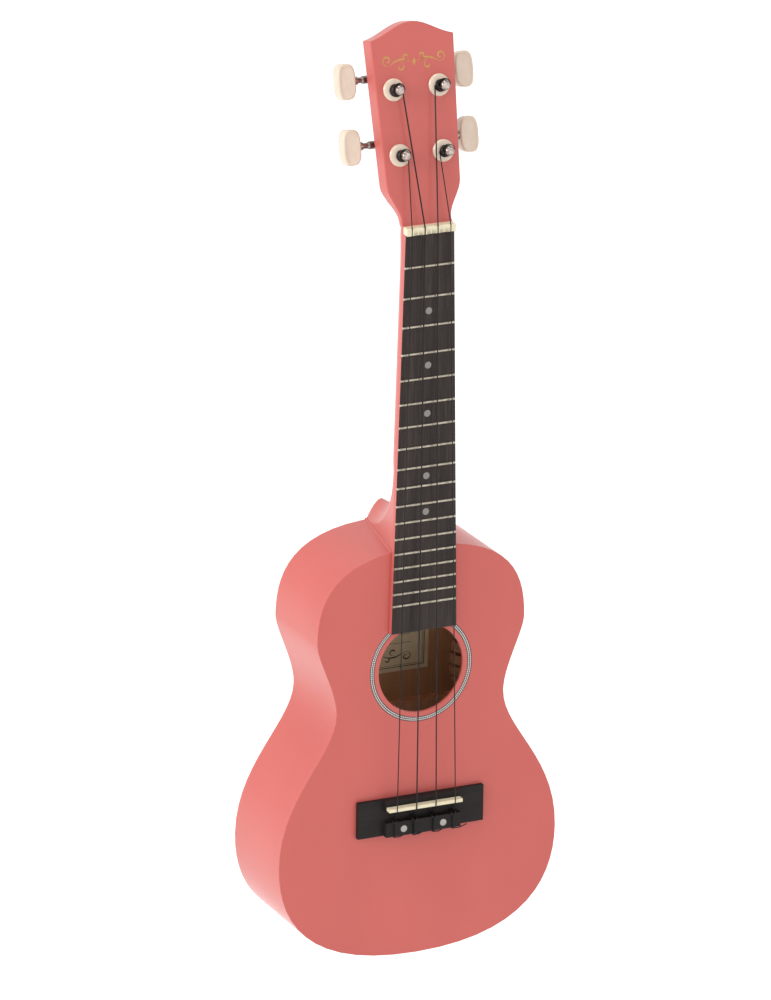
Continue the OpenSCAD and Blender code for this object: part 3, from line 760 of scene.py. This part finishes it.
def make_string(i):
    """From its post over the nut and the saddle to the tie block, with its knot and tail."""
    r = STRING_RADIUS[i]
    side = side_of(i)
    leave = 0.5 if side > 0 else 0.0
    radii = POST_RADIUS + r, POST_RADIUS + 3 * r + 0.1
    first = wrap(i, radii, (leave + side * 0.62, leave), (3.3, 3.6), 22)
    nut_x, x = string_x(i, NUT_PITCH), string_x(i, SADDLE_PITCH)
    route = first + [
        Vector((nut_x, STRING_AT_NUT - 0.05, NUT_LENGTH - 0.6)),
        Vector((nut_x, STRING_AT_NUT, NUT_LENGTH / 2)),
        Vector((nut_x, STRING_AT_NUT, 0)),
        Vector((x, STRING_AT_SADDLE, SADDLE_Z + 0.5)),
        Vector((x, STRING_AT_SADDLE + 0.12, SADDLE_Z - 0.6)),
    ]
    top = -TIE_BLOCK_HEIGHT - 2 * r - 0.15
    low = BRIDGE_END_Z - r - 0.35
    hitch = [
        (x, STRING_AT_SADDLE + 0.5, SADDLE_Z - 1.2),
        (x, -TIE_HOLE_HEIGHT - 0.9, TIE_BLOCK_Z + 2.6),
        (x, -TIE_HOLE_HEIGHT, TIE_BLOCK_Z - 0.5),
        (x, -TIE_HOLE_HEIGHT, low + 1.6),
        (x + 0.1, -TIE_HOLE_HEIGHT - 0.5, low),
        (x + 0.2, -TIE_BLOCK_HEIGHT + 0.6, low - 0.1),
        (x + 0.3, top + 0.2, low + 0.8),
    ]
    knot = smoothed([Vector(p) for p in hitch], 5)

    def strand(start_angle, steps):
        """One of the two strands twisted round each other over the tie block."""
        apart, begin, twists = r + 0.22, low + 1.4, 1.6
        span = (TIE_BLOCK_Z - 0.6) - begin
        out = []
        for k in steps:
            t = k / 24
            angle = 2 * math.pi * (twists * t) + start_angle
            place = x + 0.3 + apart * math.cos(angle), top + r * math.sin(angle), begin + span * t
            out.append(Vector(place))
        return out

    twist = strand(i, range(25))
    peak = twist[-1]
    loop = smoothed([
        peak, peak + Vector((0.8, -0.3, 1.3)), Vector((x + 1.6, -7.4, TIE_BLOCK_Z + 1.7)),
        Vector((x + 0.3, -4.6, TIE_BLOCK_Z + 2.1)), Vector((x - 1.5, -6.2, TIE_BLOCK_Z + 1.9)),
        Vector((x - 1.2, top - 0.6, TIE_BLOCK_Z + 0.6)),
    ], 5)
    down = strand(i + math.pi, range(24, -1, -1))
    reach, sag = TAIL_REACH[i], TAIL_SAG[i]
    tail = smoothed([
        down[-1], Vector((x + 0.9, top + 0.7, low + 0.1)), Vector((x + 2.2, -5.4, low - sag * 0.6)),
        Vector((x + reach * 0.6, -4.2, low - sag)), Vector((x + reach, -3.6, low + 0.1)),
    ], 5)
    bm = bmesh.new()
    tube_into(bm, route + knot[1:] + twist + loop[1:] + down[1:] + tail[1:], r)
    s = STRINGS[i]
    finish_piece(f"string_{s}_tied", bm, [NYLON], "ukulele", ["string_" + s])


def make_winding(i):
    """The turns round a post, the end through its hole, and a short tail."""
    r = STRING_RADIUS[i]
    side = side_of(i)
    start = FLANGE_HEIGHT + r + 0.05
    end = STRING_HOLE_HEIGHT - 1.3
    turns = (end - start) / (2 * r * 1.04)
    finish_turn = 0.0 if side < 0 else 0.5
    radii = POST_RADIUS + r, POST_RADIUS + r
    coil = wrap(i, radii, (finish_turn - side * turns, finish_turn), (start, end), int(turns * 24))

    def by_post(x, up, above_hole):
        """A point given outward, up the headstock and out of it, from the post's string hole."""
        return on_head(POST_X[i] + side * x, POST_S[i] + up, STRING_HOLE_HEIGHT + above_hole)

    tail = smoothed([
        coil[-1],
        by_post(-3.2, -0.9 * side, -0.6),
        by_post(-2.6, 0, 0),
        by_post(2.8, 0, 0),
        by_post(3.9, 0.5, 0.1),
        by_post(3.7, 1.8, 0.3),
    ], 5)
    # The loose end springs back round the post.
    from_turn = 0.57 if side < 0 else -0.07
    loose = wrap(i, (4.1, 4.3), (from_turn + side * 0.13, from_turn + side * 0.6), (9.0, 7.4), 20)
    bm = bmesh.new()
    tube_into(bm, coil + tail[1:] + loose[2:], r * 0.9, 8)
    s = STRINGS[i]
    finish_piece(f"winding_{s}_coil", bm, [NYLON], "post_" + s, ["winding_" + s])


# ---------------------------------------------------------------- buttons

def button_profile(half_x, half_t):
    """The button's half section from the middle of one face to the middle of the other.

    Each point is (distance in from the outline, height above the middle).
    """
    edge, hollow, crown = 1.3, 0.35, 0.12
    face = [(half_x * (1 - t), half_t - hollow * (1 - t * t)) for t in (0.02, 0.25, 0.5, 0.65)]
    turn = [
        (edge * (1 - math.sin(a)), half_t - edge * (1 - math.cos(a)))
        for a in (math.pi / 2 * k / 6 for k in range(7))
    ]
    half = face + turn + [(-crown, (half_t - edge) * 0.4)]
    return half + [(inset, -height) for inset, height in reversed(half)]


def make_button(i):
    """A flat paddle with rounded edges and slightly hollowed faces, moulded on the worm's shaft."""
    side = side_of(i)
    centre_x = side * (BUTTON_IN + BUTTON_OUT) / 2
    half_x = (BUTTON_OUT - BUTTON_IN) / 2
    half_s, half_t = BUTTON_HEIGHT / 2, BUTTON_THICKNESS / 2
    count = 72

    def rounded(wave, half):
        """A coordinate of the outline, between a circle's and a square's."""
        return math.copysign(abs(wave) ** (2 / BUTTON_ROUNDNESS), wave) * half

    def point(inset, height, k):
        turn = 2 * math.pi * k / count
        across = rounded(math.cos(turn), half_x - inset)
        along = rounded(math.sin(turn), half_s - inset)
        # The paddle narrows and thins towards the shaft.
        inward = 0.5 - 0.5 * side * across / half_x
        along *= 1 - 0.06 * inward
        depth = height * (1 - 0.08 * inward) - WORM_DEPTH
        return on_head(centre_x + across, POST_S[i] + WORM_OFFSET + along, depth)

    bm = bmesh.new()
    profile = button_profile(half_x, half_t)
    skin_into(bm, [[point(inset, height, k) for k in range(count)] for inset, height in profile])
    s = STRINGS[i]
    finish_piece(f"button_{s}_moulded", bm, [IVORY], "worm_" + s, ["button_" + s])


# ---------------------------------------------------------------- linings, label and ornament

def make_linings():
    """Kerfed linings: rows of small blocks along the inside of the sides."""
    chain = chained(body_rim())
    for node, front in (("soundboard_linings", True), ("back_linings", False)):
        bm = bmesh.new()
        for x, z, nx, nz in spaced(chain, BLOCK_PITCH):
            at_neck_block = abs(x) < 29 and z > -235
            at_tail_block = abs(x) < 34 and z < -470
            if not at_neck_block and not at_tail_block:
                lining_block(bm, x, z, nx, nz, front)
        finish_piece(node + "_kerfed", bm, [LINING], "ukulele", [node])


def inside_back(z):
    """How deep the back plate's inner face lies at height z."""
    return BACK_AT_NECK + (BODY_TOP - z) * math.tan(BACK_TILT) - PLATE / math.cos(BACK_TILT)


def spaced(chain, step):
    """Points a step apart along the closed outline, each with its inward normal."""
    out, carry = [], 0.0
    area = sum(a[0] * b[1] - b[0] * a[1] for a, b in zip(chain, chain[1:] + chain[:1]))
    sign = 1 if area > 0 else -1
    for (ax, az), (bx, bz) in zip(chain, chain[1:] + chain[:1]):
        length = math.hypot(bx - ax, bz - az)
        dx, dz = (bx - ax) / length, (bz - az) / length
        while carry < length:
            out.append((ax + dx * carry, az + dz * carry, -dz * sign, dx * sign))
            carry += step
        carry -= length
    return out


def lining_block(bm, x, z, nx, nz, front):
    """One lining block at a point of the outline with its inward normal, sloped on its inner edge."""
    outer, inner = BLOCK_REACH
    if front:
        plate, end, slope = PLATE, PLATE + FRONT_LINING_HEIGHT, PLATE + 4
    else:
        plate = inside_back(z)
        end, slope = plate - BACK_LINING_HEIGHT, plate - 6
    section = [(outer, plate), (inner, plate), (inner, slope), (outer + BLOCK_FOOT, end), (outer, end)]
    skin_into(bm, [
        [Vector((x + nx * d - nz * t, y, z + nz * d + nx * t)) for d, y in section]
        for t in (-BLOCK_HALF_LENGTH, BLOCK_HALF_LENGTH)
    ])


def ribbon_into(bm, points, widths, out, lift):
    """A thin raised ribbon along points in millimetres, on a surface that faces out."""
    outlines = []
    for point, heading, width in zip(points, headings(points), widths):
        side = heading.cross(out).normalized() * width / 2
        offsets = -side, -side * 0.7 + out * lift, side * 0.7 + out * lift, side
        outlines.append([point + offset for offset in offsets])
    skin_into(bm, outlines)


def swelling(count, thin, thick):
    """Widths along a line that is thin at both ends and thick between."""
    return [thin + (thick - thin) * math.sin(math.pi * k / (count - 1)) ** 1.5 for k in range(count)]


def scroll_lines():
    """A generic scroll ornament, symmetrical about its middle: each line is a list of (x, y)."""
    lines = []
    stem = [
        (1.6 + 13.4 * t, 1.9 * math.sin(math.pi * 1.15 * t) - 0.5 * t)
        for t in (k / 30 for k in range(31))
    ]
    curl = spiral(15.3, 1.7, 3.0, 0.5, -0.28, 0.92)
    lower_leaf = spiral(8.0, -2.2, 2.6, 0.4, 0.25, 1.1)
    upper_leaf = spiral(4.2, 3.0, 2.2, 0.4, -0.35, 0.6)
    for sign in (-1, 1):
        lines += [[(sign * x, y) for x, y in line] for line in (stem, curl, lower_leaf, upper_leaf)]
    return lines


def make_ornament():
    """The gilded scroll on the headstock's face."""
    bm = bmesh.new()
    for line in scroll_lines():
        points = [on_head(x * ORNAMENT_SCALE, ORNAMENT_UP + y * ORNAMENT_SCALE, 0.0) for x, y in line]
        ribbon_into(bm, points, swelling(len(points), 0.3, 1.3), HEAD_OUT, 0.08)
    diamond = [(0, 2.6), (1.3, 0), (0, -2.6), (-1.3, 0)]
    skin_into(bm, [
        [on_head(x * size, ORNAMENT_UP + y * size, lift) for x, y in diamond]
        for size, lift in ((1, 0), (0.8, 0.08))
    ])
    finish_piece("headstock_ornament", bm, [GILDING], "ukulele")


def make_label():
    """The paper label with a printed border and scrolls, and no lettering."""
    refined("label")
    out = Vector((0, -math.cos(BACK_TILT), -math.sin(BACK_TILT)))

    def at(x, y):
        """A point on the label, from its middle."""
        z = LABEL_Z + y
        return Vector((LABEL_X + x, inside_back(z) - LABEL_THICKNESS - 0.01, z))

    bm = bmesh.new()
    for inset, width in ((3.0, 0.5), (4.2, 0.25)):
        w, h = LABEL_HALF[0] - inset, LABEL_HALF[1] - inset
        corners = [(-w, -h), (w, -h), (w, h), (-w, h)]
        for (ax, ay), (bx, by) in zip(corners, corners[1:] + corners[:1]):
            line = [at(ax + (bx - ax) * k / 8, ay + (by - ay) * k / 8) for k in range(9)]
            ribbon_into(bm, line, [width] * 9, out, 0.05)
    for y in (-7.5, -1.5, 4.5):
        line = [at(-22 + 44 * k / 8, y) for k in range(9)]
        ribbon_into(bm, line, [0.3] * 9, out, 0.05)
    for y, flip in ((14, 1), (-15.5, -1)):
        for line in scroll_lines():
            points = [at(x * 1.25, y + flip * v) for x, v in line]
            ribbon_into(bm, points, swelling(len(points), 0.2, 0.9), out, 0.05)
    finish_piece("label_print", bm, [INK], "ukulele")


# ---------------------------------------------------------------- assembly

make_camera()
make_studio()
make_body()
make_neck()
make_heel_bead()
make_bridge()
make_tuners()
for index in range(4):
    make_string(index)
    make_winding(index)
    make_button(index)
make_linings()
make_label()
make_ornament()
